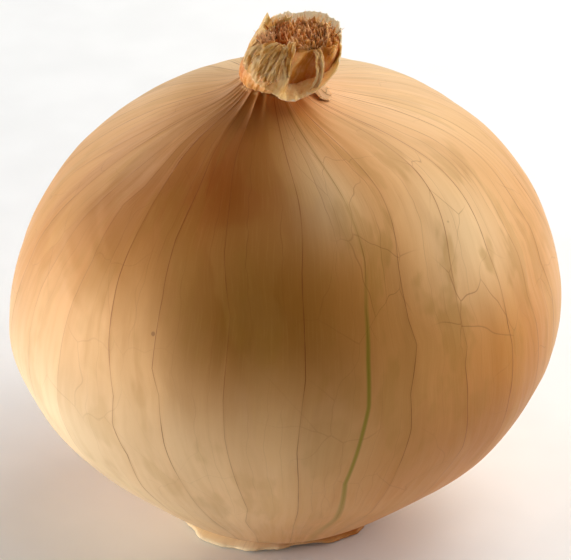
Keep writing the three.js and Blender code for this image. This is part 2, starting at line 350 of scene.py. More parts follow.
bulb = {
    "girthRadius": 42.3,
    "girthHeight": 35.6,
    "girthTilt": 0.02,  # rise of the widest line per millimetre to the right
    "upperRise": 36.7,
    "lowerDrop": 39.0,
    "lowest": -1.07,  # slope angles where the skin starts and where it meets the throat
    "highest": 1.465,
    "waistRadius": 13.0,
    "throatRadius": 5.2,
    "throatHeight": 74.5,
    "flareRise": 2.4,
    "flareReach": 3.0,
    "plug": (4.9, 3.0, 0.5),  # radii that close the skin inside the neck
    # radius and height of the hollow round the root plate, from its middle outwards
    "seat": [(0.5, 2.0), (6.0, 2.0), (10.2, 2.0), (10.8, 1.9), (11.0, 0.9), (12.2, 0.5)],
    # torn lip: share of the way from the waist to the lip's edge, and height
    "lip": [
        (0.2, 0.35), (0.55, 0.15), (0.85, 0.17), (1.0, 0.32), (1.0, 0.5),
        (0.9, 0.75), (0.7, 0.95), (0.4, 1.15), (0.15, 1.38),
    ],
    "lipRadius": [  # radius of that edge at turns in degrees
        (-180, 14.4), (-120, 15.2), (-75, 16.2), (-60, 16.7), (-43, 17.1), (-26, 16.8), (-8, 16.1),
        (2, 15.5), (12, 15.1), (20, 15.3), (30, 15.6), (45, 16.2), (58, 16.5), (75, 15.9),
        (110, 14.8), (180, 14.4),
    ],
    # where the lowest skin hangs a little down and forwards
    "sag": {"turn": -3, "turnWidth": 55, "height": 6.5, "heightWidth": 4, "down": 1.0, "forward": 0.45},
    "rows": 200,
    "ribHeight": 0.06,
    "veinHeight": 0.02,
    "tuck": 0.27,  # how far the mean surface lies inside the plain one, so that the relief stays within it
}

skin = {  # colours of the dry skin by their look on screen
    "deep": rgb(206, 122, 10),
    # pale: painted light where the lamps fall, over a little real paler tone
    "pale": rgb(253, 220, 170),
    "shade": rgb(142, 84, 0),  # painted shade, olive brown over the front; also darker panels and gaps between veins
    "russetAndShadow": rgb(146, 66, 0),  # painted shadow of the neck in front and painted shade on the lip at the right; also russet tone elsewhere and round the veins
    "lit": rgb(244, 190, 104),  # paler panels
    "grey": rgb(160, 114, 32),  # dull blotches
    "fibre": rgb(168, 98, 24),
    "thread": rgb(236, 190, 104),
    "vein": rgb(124, 48, 4),
    "green": rgb(128, 120, 6),
    "speck": rgb(120, 62, 30),
    # pleat: painted shade in the pleats under the neck
    "pleat": rgb(150, 84, 26),
    "bleachedAndLit": rgb(255, 236, 190),  # painted light on the left side of the lip
    "sheen": rgb(255, 204, 134),  # tint of the gloss seen face on
    "roughness": (0.46, 0.54),
    "veinHalfWidth": (0.01, 0.045),
    "veinEdge": 0.055,  # distance over which a vein fades out
}

veins = {
    "heights": (10, 36, 56, 70),  # where each line's turns are given
    "front": [  # turns in degrees at those heights, and the strength of the line
        (-76, -78, -79, -72, 0.7), (-62, -66, -67, -63, 0.4), (-47, -53, -56, -57, 0.45),
        (-29, -36, -44, -51, 1.0), (-16, -24, -31, -38, 0.85), (-8, -11, -16, -25, 0.65),
        (3, 2.5, 3, 1.5, 0.8), (11, 15.5, 19, 19, 0.6), (21, 25.3, 27.5, 34, 0.9),
        (35, 39.5, 42, 55, 0.8), (49, 52, 54.5, 64, 0.9), (63, 63, 65, 76, 0.6),
    ],
    "green": 7,  # which of them is a green one
    "behind": 18,  # how many more run round the back
    "kink": 1.0,  # degrees that a line strays
    "bend": 6.0,  # height between its bends
    # columns of the mesh from one line to the next
    "columns": (0, 0.03, 0.08, 0.16, 0.25, 0.35, 0.45, 0.55, 0.65, 0.75, 0.84, 0.92, 0.97),
}


def veinTurns(height):
    # Turn of every lengthwise vein at each height, in radians, (veins + 1, rows): a curve through its
    # given turns, plus straight pieces of stray between bends. The last is the first, once round.
    random = np.random.default_rng(3)
    count = veins["behind"]
    first, last = veins["front"][0], veins["front"][-1]
    lines = [line[:4] for line in veins["front"]]
    for k in range(count):
        share = (k + 1) / (count + 1)
        ends = zip(first[:4], last[:4])
        lines.append([mix(b, a + 360, share) + random.uniform(-1.8, 1.8) for a, b in ends])
    strengths = [line[4] for line in veins["front"]] + list(random.uniform(0.4, 1, count))
    bends = np.arange(0, 84, veins["bend"])
    turns = []
    for line in lines:
        places = bends + random.uniform(-2, 2, len(bends))
        stray = np.interp(height, places, random.normal(0, 0.7, len(bends)))
        turns.append(through(list(zip(veins["heights"], line)), height) + veins["kink"] * stray)
    turns.append(turns[0] + 360)
    return np.radians(np.array(turns)), np.array(strengths + [strengths[0]])


def pleat(turn):
    # Sharp ridges of uneven width round the throat
    uneven = turn + 0.16 * np.sin(2 * turn + 0.7) + 0.1 * np.sin(5 * turn + 2.1)
    ridge = 1 - np.abs(np.sin(7 * uneven)) ** 0.8
    return ridge * (0.75 + 0.25 * np.sin(3 * turn + 1)) * mix(0.35, 1, near(turn, -40, 75))


def skinRadius(turn, radius, height):
    # radius * (1 + oval + flat panels), and the pleats where the skin is gathered into the neck
    body = ease(height, 3, 16) * ease(radius, 4, 24)
    oval = 0.0038 * np.cos(2 * turn - 2.28) + 0.0031 * np.cos(3 * turn + 2.11)
    panels = 0.0035 * np.sin(8 * turn + 0.6 * np.sin(2 * turn)) + 0.002 * np.sin(13 * turn + 1)
    gathered = ease(height, 69.5, 73.8)
    return radius * (1 + body * (oval + panels)) + gathered * (1.05 * pleat(turn) - 0.4)


def bulbProfile():
    # Two halves of a squashed circle, r = R cos^a, z = H sin^b, with the flare into the throat, at even steps
    slope = np.linspace(bulb["lowest"], bulb["highest"], 4000)
    upper = slope > 0
    radius = bulb["girthRadius"] * np.cos(slope) ** np.where(upper, 0.925, 1.633)
    sine = np.abs(np.sin(slope))
    flare = bulb["flareRise"] * np.exp((bulb["throatRadius"] - radius) / bulb["flareReach"])
    rise = bulb["upperRise"] * sine**1.041 + flare
    height = bulb["girthHeight"] + np.where(upper, rise, -bulb["lowerDrop"] * sine**1.07)
    steps = np.hypot(np.diff(radius), np.diff(height))
    length = np.concatenate([[0], np.cumsum(steps)])
    finer = length + 14 * ease(length, length[-1] - 16, length[-1])  # closer rows in the pleats
    even = np.linspace(0, finer[-1], bulb["rows"])
    return np.interp(even, finer, radius), np.interp(even, finer, height), np.interp(even, finer, length)


def relief(coordinate, turn, height, spacing, strength):
    # Ribs along the veins + sharp vein crests + shallow dents + fine lengthwise ripples + slanting
    # creases on both shoulders, in millimetres outwards
    inGap = coordinate - np.floor(coordinate)
    offLine = np.minimum(inGap, 1 - inGap) * spacing
    shoulders = ease(height, 6, 16) * (1 - ease(height, 66, 73))
    rib = bulb["ribHeight"] * (0.5 + 0.5 * np.cos(2 * pi * inGap)) * shoulders
    crest = bulb["veinHeight"] * strength * np.exp(-((offLine / 0.22) ** 2)) * ease(height, 3, 9)
    share = turn / (2 * pi)
    dents = 0.16 * noise(share * 18, height / 9, 31, 18) + 0.1 * noise(share * 46, height / 6, 32, 46)
    ripples = 0.045 * noise(share * 130, height / 7, 33, 130)
    ripples = ripples + 0.012 * noise(share * 420, height / 4, 34, 420)
    crumple = 0.16 * (folds(share * 60, height / 3.5, 35, 60) - 0.6) * ease(height, 63, 72)
    degrees = (np.degrees(turn) + 180) % 360 - 180
    atLeft = bell(turn, height, -66, 24, 56, 10) * noise((degrees + 3.9 * height) / 4, height / 5, 36)
    atRight = bell(turn, height, 36, 26, 58, 10) * noise((degrees - 2.2 * height) / 5, height / 6, 37)
    return rib + crest + (dents + ripples) * shoulders + crumple + 0.09 * (atLeft + 0.7 * atRight)


def skinTones(turn, height):
    # Shares of pale, shaded, russet, bleached and netted skin, as sums of bells: pale is painted light, low
    # at the left, high at the back and in two patches at the right; shade is painted shade in front; russet
    # is painted shadow of the neck in front and painted shade on the lip at the right, with russet tone low
    # at the right and high at the left; bleached is painted light at the left of the lip
    # Painted light: paler low at the left, and behind, most near the top
    low = near(turn, -50, 56) * (1 - ease(height, 28, 58))
    back = ease(-np.cos(turn), -0.75, 0.1) * (0.45 + 0.5 * ease(height, 50, 66))
    back = back * (1 - 0.65 * near(turn, -85, 45) * ease(height, 38, 54))
    back = back * (1 - 0.35 * near(turn, 95, 60) * ease(height, 48, 62))
    wander = 0.1 * noise(turn / (2 * pi) * 12, height / 14, 45, 12)
    # Painted light: two pale patches at the right
    right = 0.65 * bell(turn, height, 13, 13, 67, 4.5) + 0.6 * bell(turn, height, 50, 18, 60, 9)
    # Painted shadow of the neck in front, painted shade on the lip at the right, and russet tone low at the
    # right and high at the left
    russetAndShadow = bell(turn, height, -24, 29, 68, 6.5) + 0.5 * bell(turn, height, -62, 24, 62, 8)
    russetAndShadow = russetAndShadow + 0.5 * bell(turn, height, 46, 30, 29, 12) + bell(turn, height, 58, 20, 1, 3)
    return {
        "pale": np.clip(0.12 + 0.88 * np.maximum(low, back) + right + wander, 0, 1),
        "shade": bell(turn, height, -9, 22, 54, 11),
        "bleachedAndLit": 0.85 * near(turn, -32, 42) * (1 - ease(height, 1.6, 2.6)),
        "russetAndShadow": np.clip(russetAndShadow, 0, 1),
        "netted": 0.35 + 0.65 * bell(turn, height, 42, 30, 58, 14) - 0.2 * near(turn, -15, 25),
    }


def makeBulb(material):
    # axis(height) + (profile radius with panels and pleats + relief - tuck) towards the turn of each
    # column, closed by the torn lip and the seat below and by a plug in the neck
    radius, height, length = bulbProfile()
    lines, strengths = veinTurns(height)
    count = len(lines) - 1
    columns = np.array(veins["columns"])
    coordinate = (np.arange(count)[:, None] + columns).ravel()
    gap = np.floor(coordinate).astype(int)
    share = coordinate - gap
    turn = mix(lines[gap].T, lines[gap + 1].T, share)  # (rows, columns)
    spacing = (lines[gap + 1] - lines[gap]).T * radius[:, None]
    strength = np.where(share < 0.5, strengths[gap], strengths[gap + 1])
    isGreen = np.where(share < 0.5, gap, gap + 1) == veins["green"]
    grown = skinRadius(turn, radius[:, None], height[:, None])
    grown = grown + relief(coordinate, turn, height[:, None], spacing, strength) - bulb["tuck"]
    body = aboutAxis(turn, grown, np.broadcast_to(height[:, None], turn.shape))
    body[..., 2] += bulb["girthTilt"] * body[..., 0] * np.sin(pi * ease(height, 4, 72))[:, None]
    low = bulb["sag"]
    sag = bell(turn, height[:, None], low["turn"], low["turnWidth"], low["height"], low["heightWidth"])
    body[..., 1] -= low["forward"] * sag
    body[..., 2] -= low["down"] * sag

    # Torn lip round the root plate, and the seat inside it
    base = turn[0]
    ragged = 0.16 * np.sin(9 * base + 2) + 0.14 * np.sin(16 * base) + 0.14 * np.sin(23 * base + 1)
    fine = 0.16 * rough(base / (2 * pi) * 90, 0.5, 41, 90)
    out = around(bulb["lipRadius"], base) + ragged + fine - bulb["waistRadius"]
    lifted = 0.25 * (1 + np.sin(5 * base + 1)) + 0.2 * np.abs(noise(base / (2 * pi) * 36, 0.5, 42, 36))
    under = [aboutAxis(base, r, h) for r, h in bulb["seat"]]
    lip = [aboutAxis(base, bulb["waistRadius"] + share * out, h + share * lifted) for share, h in bulb["lip"]]
    top = [aboutAxis(turn[-1], r, bulb["throatHeight"]) for r in bulb["plug"]]
    points = np.concatenate([np.array(under), np.array(lip), body, np.array(top)])

    before, after = len(under) + len(lip), len(top)
    along = np.concatenate([np.linspace(-12, -0.5, before), length, length[-1] + np.arange(1, after + 1)])
    u, v = np.meshgrid(np.append(coordinate, count), along / 10)
    pad = lambda a: np.concatenate([np.repeat(a[:1], before, 0), a, np.repeat(a[-1:], after, 0)])
    aboveLip = ease(height, 2, 7)[:, None]
    values = {
        "spacing": pad(spacing),
        "strength": pad(strength * aboveLip),
        "green": pad(isGreen * aboveLip),
        # Painted shade in the pleats under the neck, deepest in front
        "pleatShade": pad(ease(height, 68, 74)[:, None] * mix(0.2, 1, near(turn, -30, 52))),
    }
    values.update({name: pad(value) for name, value in skinTones(turn, height[:, None]).items()})
    grid = closedGrid(points, values, uv=np.stack([u, v], -1))
    return makePiece("bulbSkin", [grid], material, "bulb")


def skinMaterial():
    # Ground colour, then patches, fibres, panels, the net, the veins, specks and painted shade in the pleats
    # blended over it.
    # The main veins lie at whole numbers of the first coordinate.
    material, tree = newMaterial("drySkin")
    uv = add(tree, "UVMap", uv_map="lengthwise").outputs["UV"]
    value = lambda name: add(tree, "Attribute", attribute_name=name).outputs["Fac"]
    parts = add(tree, "SeparateXYZ", {0: uv})
    across, along = parts.outputs[0], parts.outputs[1]
    place = add(tree, "TexCoord").outputs["Object"]
    height = add(tree, "SeparateXYZ", {0: place}).outputs[2]

    # Golden brown, with painted light paler low at the left and behind, painted shade darker in front, and
    # soft patches and dull blotches
    patches = cloud(tree, place, 42.0, 3.0)
    broad = cloud(tree, place, 20.0, 1.0)
    coats = []
    paint = lambda share, name: coats.append((share, name))
    # Painted light: the pale share
    paint(value("pale"), "pale")
    # Painted shade over the front
    paint(times(tree, value("shade"), 0.92), "shade")
    # Painted shadow of the neck in front and painted shade on the lip at the right, with russet tone
    paint(times(tree, value("russetAndShadow"), 0.9), "russetAndShadow")
    lighter = times(tree, ramp(tree, patches, 0.5, 0.72, 0, 0.35), value("pale"))
    paint(lighter, "pale")
    paint(ramp(tree, broad, 0.48, 0.7, 0, 0.25), "deep")
    ownTone = add(tree, "TexWhiteNoise", {"W": calc(tree, "FLOOR", across)}, noise_dimensions="1D")
    paint(times(tree, ownTone.outputs["Value"], 0.12), "shade")
    blotches = stretched(tree, uv, 1.3, 0.7, detail=3, roughness=0.6)
    dullness = ramp(tree, value("netted"), 0.3, 1.0, 0.16, 0.42)
    paint(times(tree, ramp(tree, blotches, 0.5, 0.62), dullness), "grey")
    # Painted light on the left of the lip
    paint(value("bleachedAndLit"), "bleachedAndLit")

    # Fine fibres that run lengthwise
    fibres = stretched(tree, uv, 7, 0.9, detail=4)
    threads = stretched(tree, uv, 34, 1.6, detail=2)
    paint(ramp(tree, fibres, 0.42, 0.68, 0, 0.08), "fibre")
    paint(ramp(tree, threads, 0.5, 0.75, 0, 0.06), "thread")

    # Long angular panels, a little darker or paler than the skin round them
    shift = calc(tree, "MULTIPLY_ADD", stretched(tree, uv, 1.6, 1.6, detail=1), 0.5, -0.25)
    bent = {0: calc(tree, "ADD", across, shift), 1: calc(tree, "SUBTRACT", along, shift)}
    bent = add(tree, "CombineXYZ", bent).outputs[0]
    inputs = {"Vector": scaled(tree, bent, 1.1, 0.5), "Scale": 1.0, "Smoothness": 0.45}
    panels = add(tree, "TexVoronoi", inputs, voronoi_dimensions="2D", feature="SMOOTH_F1")
    tones = add(tree, "SeparateColor", {0: panels.outputs["Color"]}).outputs
    paint(ramp(tree, tones[0], 0.4, 0.8, 0, 0.1), "shade")
    paint(ramp(tree, tones[1], 0.45, 0.85, 0, 0.09), "lit")

    # Thin net of small veins in some patches
    inputs = {"Vector": scaled(tree, bent, 1.2, 1.0), "Scale": 1.0}
    cells = add(tree, "TexVoronoi", inputs, voronoi_dimensions="2D", feature="DISTANCE_TO_EDGE")
    edges = ramp(tree, cells.outputs["Distance"], 0.003, 0.015, 1, 0)
    where = ramp(tree, stretched(tree, uv, 0.5, 0.45, detail=1), 0.42, 0.6)
    paint(times(tree, edges, where, value("netted"), 0.5), "vein")

    # Main veins, of uneven width and strength, each in a faint halo
    toLine = calc(tree, "ABSOLUTE", calc(tree, "SUBTRACT", across, calc(tree, "ROUND", across)))
    offLine = times(tree, toLine, value("spacing"))
    halfWidth = ramp(tree, stretched(tree, uv, 1, 2.2, detail=2), 0.3, 0.7, *skin["veinHalfWidth"])
    outer = calc(tree, "ADD", halfWidth, skin["veinEdge"])
    inputs = {"Value": offLine, "From Min": halfWidth, "From Max": outer, "To Min": 1.0, "To Max": 0.0}
    line = add(tree, "MapRange", inputs).outputs["Result"]
    faint = ramp(tree, stretched(tree, uv, 1, 0.7, detail=1), 0.36, 0.56, 0.4, 1.0)
    lower = ramp(tree, height, 8 * mm, 40 * mm, 0.45, 0.9)
    line = times(tree, line, value("strength"), faint, lower)
    halo = times(tree, ramp(tree, offLine, 0.08, 0.5, 0.08, 0.0), value("strength"))
    paint(halo, "russetAndShadow")
    paint(line, "vein")

    # Finer veins between the main ones, strongest near the neck, where they run together
    upper = ramp(tree, height, 48 * mm, 70 * mm, 0.25, 0.8)
    for offset, seed in ((0.31, 3.0), (0.55, 11.0), (0.77, 23.0)):
        moved = add(tree, "VectorMath", {0: uv, 1: (0, seed, 0)}, operation="ADD").outputs[0]
        sway = stretched(tree, moved, 0.3, 1.4, detail=2)
        sway = calc(tree, "MULTIPLY_ADD", sway, 0.24, offset - 0.12)
        inGap = calc(tree, "ABSOLUTE", calc(tree, "SUBTRACT", calc(tree, "FRACT", across), sway))
        thin = ramp(tree, times(tree, inGap, value("spacing")), 0.02, 0.085, 1, 0)
        kept = ramp(tree, stretched(tree, moved, 0.9, 0.35, detail=1), 0.47, 0.6, 0, 0.5)
        paint(times(tree, thin, kept, upper), "vein")

    # The green vein: a wider soft band over the lower two thirds
    narrowed = times(tree, offLine, ramp(tree, height, 10 * mm, 34 * mm, 0.4, 1))
    band = ramp(tree, narrowed, 0.1, 0.5, 1, 0)
    rising = ramp(tree, height, 6 * mm, 34 * mm, 0.2, 1)
    fading = ramp(tree, height, 46 * mm, 62 * mm, 1, 0.15)
    paint(times(tree, band, rising, fading, value("green"), 0.8), "green")

    # Specks, and painted shade in the pleats under the neck
    dots = add(tree, "TexVoronoi", {"Vector": place, "Scale": 210.0})
    chosen = add(tree, "SeparateColor", {0: dots.outputs["Color"]}).outputs[0]
    chosen = ramp(tree, chosen, 0.965, 0.97)
    speck = times(tree, ramp(tree, dots.outputs["Distance"], 0.05, 0.09, 1, 0), chosen, 0.7)
    paint(speck, "speck")
    paint(times(tree, value("pleatShade"), 0.6), "pleat")

    grain = calc(tree, "ADD", times(tree, fibres, 0.6), times(tree, threads, 0.3))
    grain = calc(tree, "ADD", grain, times(tree, line, 0.25))
    bump = add(tree, "Bump", {"Strength": 0.35, "Distance": 0.12 * mm, "Height": grain}).outputs["Normal"]
    colour = painted(tree, skin["deep"], coats, skin)
    return finished(material, tree, {
        "Base Color": colour, "Roughness": ramp(tree, fibres, 0.3, 0.7, *skin["roughness"]),
        "Normal": bump, "Specular IOR Level": 1.0, "IOR": 1.52, "Specular Tint": skin["sheen"],
    })


makeBulb(skinMaterial())


# Neck

neck = {
    "foot": 74.8,
    "cutHeight": 81.3,
    "cutShift": (1.5, 0.6),  # how far the cut end lies to the right of the growth axis, and behind it
    "pocketTurn": 22.0,  # degrees to where the open pocket faces
    "pocketWidth": 25.0,
    # wall of the stub: (height, radius), gathered and in the open pocket
    "wall": [(74.8, 4.9), (75.6, 5.6), (77, 6.5), (79, 6.6), (80.4, 5.9), (81.3, 4.7)],
    "pocketWall": [(74.8, 5.2), (76, 5.3), (77, 5.1), (79, 4.5), (81.3, 3.8)],
    "thickness": 0.2,
    # sheath: turn in degrees, then radius and height of four control points from the root to the lip
    "sheath": [
        (-180, 4.9, 75.2, 7.0, 76.8, 7.0, 80.3, 7.5, 82.2),
        (-150, 4.9, 75.2, 7.0, 76.8, 7.0, 80.5, 6.2, 82.6),
        (-128, 4.9, 75.2, 7.2, 76.8, 6.8, 80.4, 5.4, 83.2),
        (-105, 4.9, 75.2, 7.5, 77.0, 6.8, 80.2, 5.2, 82.9),
        (-86, 4.8, 76.0, 7.7, 78.0, 6.4, 81.0, 4.7, 82.3),
        (-72, 4.0, 80.5, 5.4, 82.4, 7.2, 81.0, 7.3, 79.3),
        (-58, 3.4, 81.6, 4.9, 83.0, 6.9, 81.3, 7.5, 78.5),
        (-40, 3.2, 81.7, 4.6, 83.0, 6.6, 81.0, 7.9, 77.9),
        (-22, 3.2, 81.6, 4.6, 82.8, 6.5, 80.4, 8.2, 77.2),
        (-8, 3.4, 81.0, 4.6, 81.8, 6.4, 79.0, 8.4, 76.5),
        (4, 4.0, 77.6, 5.0, 77.0, 6.6, 76.4, 8.6, 75.8),
        (18, 4.1, 76.9, 5.4, 76.1, 7.0, 75.8, 8.7, 75.4),
        (34, 4.2, 77.0, 5.6, 76.2, 7.3, 76.2, 8.5, 75.9),
        (50, 4.4, 77.4, 6.0, 77.0, 7.4, 77.6, 8.1, 77.6),
        (66, 4.6, 77.0, 6.6, 77.4, 7.4, 79.0, 7.4, 80.0),
        (90, 4.8, 76.0, 6.9, 77.4, 7.3, 79.8, 6.4, 81.8),
        (120, 4.9, 75.4, 7.0, 76.8, 7.0, 80.2, 7.2, 82.2),
        (148, 4.9, 75.2, 7.0, 76.8, 7.0, 80.4, 7.7, 82.6),
        (180, 4.9, 75.2, 7.0, 76.8, 7.0, 80.3, 7.5, 82.2),
    ],
}


def inPocket(turn):
    # exp(-(turn offset / width)^4): 1 where the pocket is open, 0 elsewhere
    degrees = (np.degrees(turn) - neck["pocketTurn"] + 180) % 360 - 180
    return np.exp(-((degrees / neck["pocketWidth"]) ** 4))


def tinted(points, brown, red, dark):
    # The three tones of a dry leaf as attributes of its grid
    tones = {"brown": brown, "red": red, "dark": dark}
    return {name: np.broadcast_to(tone, points.shape[:-1]) for name, tone in tones.items()}


def makeStub(material):
    # Gathered leaf bases: axis + (wall or pocket radius + creases), moved sideways towards the cut, then
    # the cut itself, the wall's last row drawn in to its middle, with lumps and a shallow hollow
    foot, cut = neck["foot"], neck["cutHeight"]
    turn = np.linspace(-pi, pi, 300, endpoint=False)
    share = turn / (2 * pi)
    pocket = inPocket(turn)
    bottom = aboutAxis(turn, np.array([0.4, 2.4, 4.2])[:, None], foot)

    height = np.linspace(foot, cut - 0.1, 46)[:, None]
    gathered = (1 - pocket) * (1 - ease(height, 80, 81))
    radius = mix(through(neck["wall"], height), through(neck["pocketWall"], height), pocket)
    creases = 0.34 * (folds(share * 26, (height - foot) / 7, 52, 26) - 0.6)
    creases = creases + 0.1 * noise(share * 90, height / 3, 53, 90)
    wall = aboutAxis(turn, radius + creases * mix(0.3, 1, gathered), height)
    wall[..., :2] += ease(height, 78.5, 81.2)[..., None] * neck["cutShift"]

    middle = wall[-1].mean(0)
    part = np.linspace(0.96, 0.06, 22)[:, None]
    top = middle + (wall[-1] - middle) * part[..., None]
    x, y = top[..., 0], top[..., 1]
    lumps = 0.5 * noise(x * 0.9, y * 0.9, 61) + 0.25 * noise(x * 2.1, y * 2.1, 62)
    top[..., 2] = cut + lumps * ease(1 - part, 0, 0.15) - 0.7 * ease(1 - part, 0.05, 0.5)

    points = np.concatenate([bottom, wall, top])
    onCut = (np.arange(len(points)) >= len(points) - len(top))[:, None] * np.ones(points.shape[:2])
    leftOfCut = ease(-points[..., 0], -1.0, 1.5) * onCut
    brown = 0.5 + 0.4 * onCut + 0.3 * pocket
    red = 0.6 * near(turn, -82, 26) * (1 - onCut) + 0.8 * leftOfCut
    # Painted shade: darker at the foot of the stub, under the sheath, outside the pocket
    dark = 0.35 * onCut * (1 - leftOfCut) + 0.2 * (1 - ease(points[..., 2], 75, 77.5)) * (1 - pocket)
    grid = closedGrid(points, tinted(points, brown, red, dark))
    return makePiece("neckStub", [grid], material, "neck")


def bezier(control, v):
    # Cubic through four control values
    weights = ((1 - v) ** 3, 3 * v * (1 - v) ** 2, 3 * v * v * (1 - v), v**3)
    return sum(w * c for w, c in zip(weights, control))


def makeSheath(material):
    # Outer leaf base, torn and folded out: a cubic from root to lip at every turn, crumpled, with a
    # ragged lip and one pointed tip
    turn, v = np.meshgrid(np.linspace(-pi, pi, 460, endpoint=False), np.linspace(0, 1, 72) ** 0.9)
    share = turn / (2 * pi)
    column = [around(neck["sheath"], turn, k) for k in range(1, 9)]
    radius, height = bezier(column[0::2], v), bezier(column[1::2], v)
    front = near(turn, -30, 48)
    cup = near(turn, 22, 24)
    right = near(turn, 88, 30)
    ragged = 0.3 * rough(share * 60, 0.5, 51, 60, 4) - 0.15
    ragged = ragged + 0.35 * np.maximum(rough(share * 24, 3.5, 55, 24), 0)
    tip = np.maximum(1 - np.abs((np.degrees(turn) + 128) / 9), 0) ** 1.3
    tear = v**3 * (1 - tip)
    height = height + ragged * tear * mix(1, 0.25, cup) + 0.85 * tip * v**2
    radius = radius + ragged * tear * cup + 0.5 * tip * v**3
    scallops = right * v**4 * 0.4 * np.abs(np.sin(11 * turn))
    wrinkle = 0.3 * (folds(share * 44, v * 2.6, 56, 44) - 0.62)
    wrinkle = wrinkle + 0.3 * (folds(share * 22, v * 4 + share * 40, 49, 22) - 0.6)
    wrinkle = wrinkle * mix(0.45, 1.1, front)
    fine = 0.13 * noise(share * 130, v * 12, 57, 130) * mix(0.5, 1, front)
    fine = fine + 0.08 * noise(share * 260, v * 26, 58, 260) * front
    out = (wrinkle + fine) * ease(v, 0, 0.2) + scallops
    points = aboutAxis(turn, radius + 0.8 * out, height + 0.6 * out * front)
    streaks = 0.5 + 0.5 * noise(share * 90, v * 1.5, 59, 90)
    leftFold = near(turn, -92, 18) * (1 - ease(v, 0.55, 0.8))
    stain = front * ease(noise(share * 34, v * 4, 48, 34), 0, 0.7)
    brown = 0.3 * streaks * (1 - 0.8 * ease(v, 0.85, 1)) + 0.2 * near(turn, -100, 22)
    brown = brown + 0.6 * leftFold + 0.5 * stain + 0.2 * front
    # Painted light: the inside of the back rim near the lip and the cup are paled towards the bleached
    # colour, where they lie in shade
    brown = brown - 1.1 * near(turn, 150, 70) * ease(v, 0.6, 0.9) - 0.4 * cup
    red = 0.25 * cup * (1 - ease(v, 0.6, 0.9)) + 0.3 * leftFold + 0.25 * stain
    dark = 0.15 * front * ease(noise(share * 40, v * 5, 60, 40), 0.1, 0.8) + 0.3 * leftFold
    grid = {"points": points, "closedRound": True, "values": tinted(points, brown, red, dark)}
    return makePiece("neckSheath", [grid], material, "neck", neck["thickness"])


strips = {
    # torn leaf ends: turns in degrees across the root and across the tip, (radius, height) of four control
    # points from root to tip, and shares of brown, red and dark
    "ends": [
        ((-76, -52), (-70, -50), ((4.4, 81.9), (6.1, 82.0), (7.5, 80.4), (7.9, 78.2)), (0.15, 0.1, 0.0)),
        ((-60, -40), (-58, -40), ((4.0, 82.2), (5.6, 82.5), (7.0, 81.0), (7.7, 78.9)), (0.3, 0.1, 0.1)),
        ((-44, -26), (-44, -27), ((3.8, 82.1), (5.4, 82.4), (6.9, 80.8), (7.9, 78.4)), (0.45, 0.15, 0.25)),
        ((-30, -13), (-30, -15), ((3.9, 82.2), (5.3, 82.3), (6.8, 80.4), (8.2, 77.8)), (0.2, 0.1, 0.1)),
        ((-20, -3), (-17, -1), ((3.5, 82.7), (4.8, 82.7), (5.9, 80.4), (6.8, 78.0)), (0.3, 0.1, 0.0)),
        ((40, 58), (30, 46), ((4.6, 81.3), (5.9, 80.8), (6.7, 79.0), (7.9, 76.6)), (0.1, 0.05, 0.0)),
        ((60, 84), (58, 80), ((4.9, 78.0), (5.9, 79.4), (6.4, 80.6), (6.4, 81.9)), (0.35, 0.2, 0.1)),
        ((-118, -92), (-112, -96), ((3.9, 78.0), (4.4, 79.6), (4.5, 81.2), (4.0, 82.8)), (0.4, 0.3, 0.1)),
        ((96, 140), (100, 136), ((4.9, 78.0), (5.2, 79.6), (5.3, 81.2), (5.0, 82.8)), (0.1, 0.05, 0.0)),
        ((-172, -134), (-168, -138), ((4.7, 78.0), (5.0, 79.6), (5.1, 81.2), (4.7, 83.0)), (0.15, 0.1, 0.0)),
    ],
    "thickness": 0.16,
}


def stripPoints(u, v, root, tip, path, seed):
    # Cubic path of radius and height, swept between two turns; folded along its length, crumpled and
    # jagged at its tip
    jag = 1 + 0.1 * rough(u * 5, 0.5, seed, octaves=4) - 0.06
    along = v * mix(1, jag, v)
    sway = 0.04 * noise(v * 3, 0.5, seed + 4)
    edge = 0.1 * rough(v * 6, np.where(u < 0.5, 0.5, 5.5), seed + 5) * (np.abs(u - 0.5) * 2) ** 3
    across = u + edge * np.sign(u - 0.5)
    turn = np.radians(mix(mix(*root, across), mix(*tip, across), v)) + sway
    radius, height = (bezier(control, along) for control in zip(*path))
    crumple = 0.5 * (folds(u * 3.2, v * 1.3, seed + 1) - 0.6) + 0.22 * noise(u * 7, v * 6, seed + 2)
    crumple = crumple + 0.1 * noise(u * 16, v * 15, seed + 3)
    curl = 0.35 * (np.abs(u - 0.5) * 2) ** 2
    return aboutAxis(turn, radius + 0.7 * crumple - curl, height + 0.5 * crumple)


def makeStrips(material):
    # One grid for each torn end, stained in patches that are darker at the root
    u, v = np.meshgrid(np.linspace(0, 1, 64), np.linspace(0, 1, 52))
    grids = []
    for k, (root, tip, path, (brown, red, dark)) in enumerate(strips["ends"]):
        points = stripPoints(u, v, root, tip, path, 300 + 10 * k)
        stain = ease(noise(u * 4, v * 4, 400 + k), -0.1, 0.9)
        brown, red, dark = brown + 0.15 + 0.4 * stain, red + 0.25 * stain, dark + 0.2 * stain * (1 - v)
        grids.append({"points": points, "values": tinted(points, brown, red, dark)})
    return makePiece("neckStrips", grids, material, "neck", strips["thickness"])


layers = {"innermost": 0.5, "outermost": 4.1, "count": 10, "thickness": 0.1}


